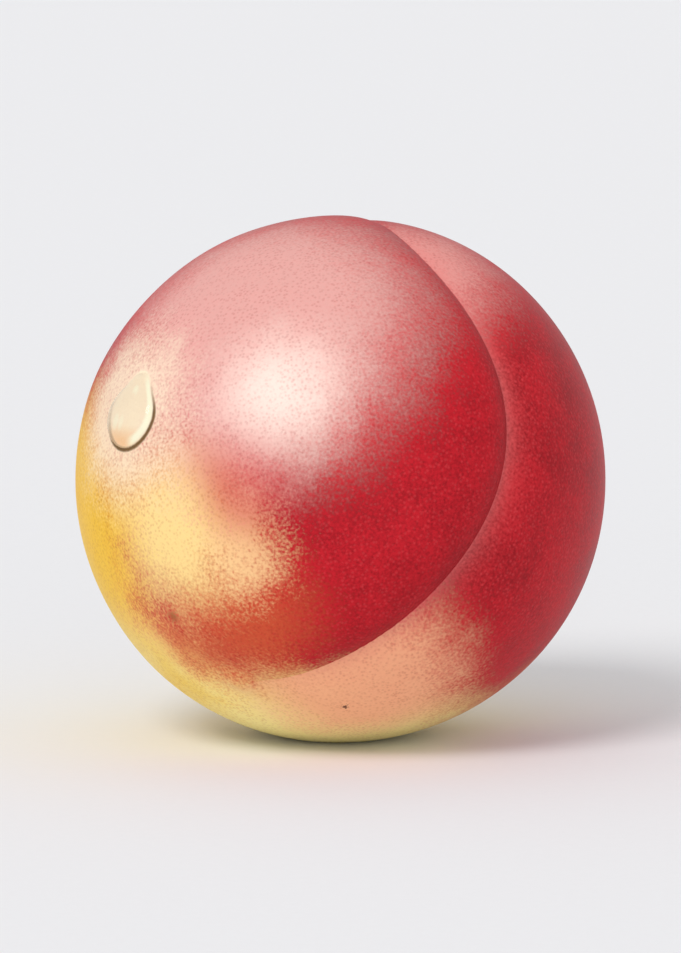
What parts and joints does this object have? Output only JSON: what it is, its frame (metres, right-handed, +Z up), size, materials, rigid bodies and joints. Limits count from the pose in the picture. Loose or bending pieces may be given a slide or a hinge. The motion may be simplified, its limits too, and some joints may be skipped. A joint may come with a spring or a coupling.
{
  "type": "peach",
  "caption": "Ripe round peach as picked, lying on its side, with an off-centre suture, a short woody stalk stub in its hollow and a bead of dew on the skin.",
  "frame": {"origin": "on the surface the peach lies on, under the centre of its box and at the middle of its small flat spot", "axes": "+Z up, -Y towards the side that shows the suture, +X to the right of someone looking at that side"},
  "size_m": [0.07, 0.07, 0.0693],
  "materials": {
    "peach_skin": "satin skin with a fine down, crimson over warm yellow",
    "stalk_bark": "rough dry bark",
    "dew_water": "clear wet bead"
  },
  "bodies": {
    "root": {"fruit": "peach_skin", "stalk": "stalk_bark", "dew_drop": "dew_water"}
  },
  "joints": []
}
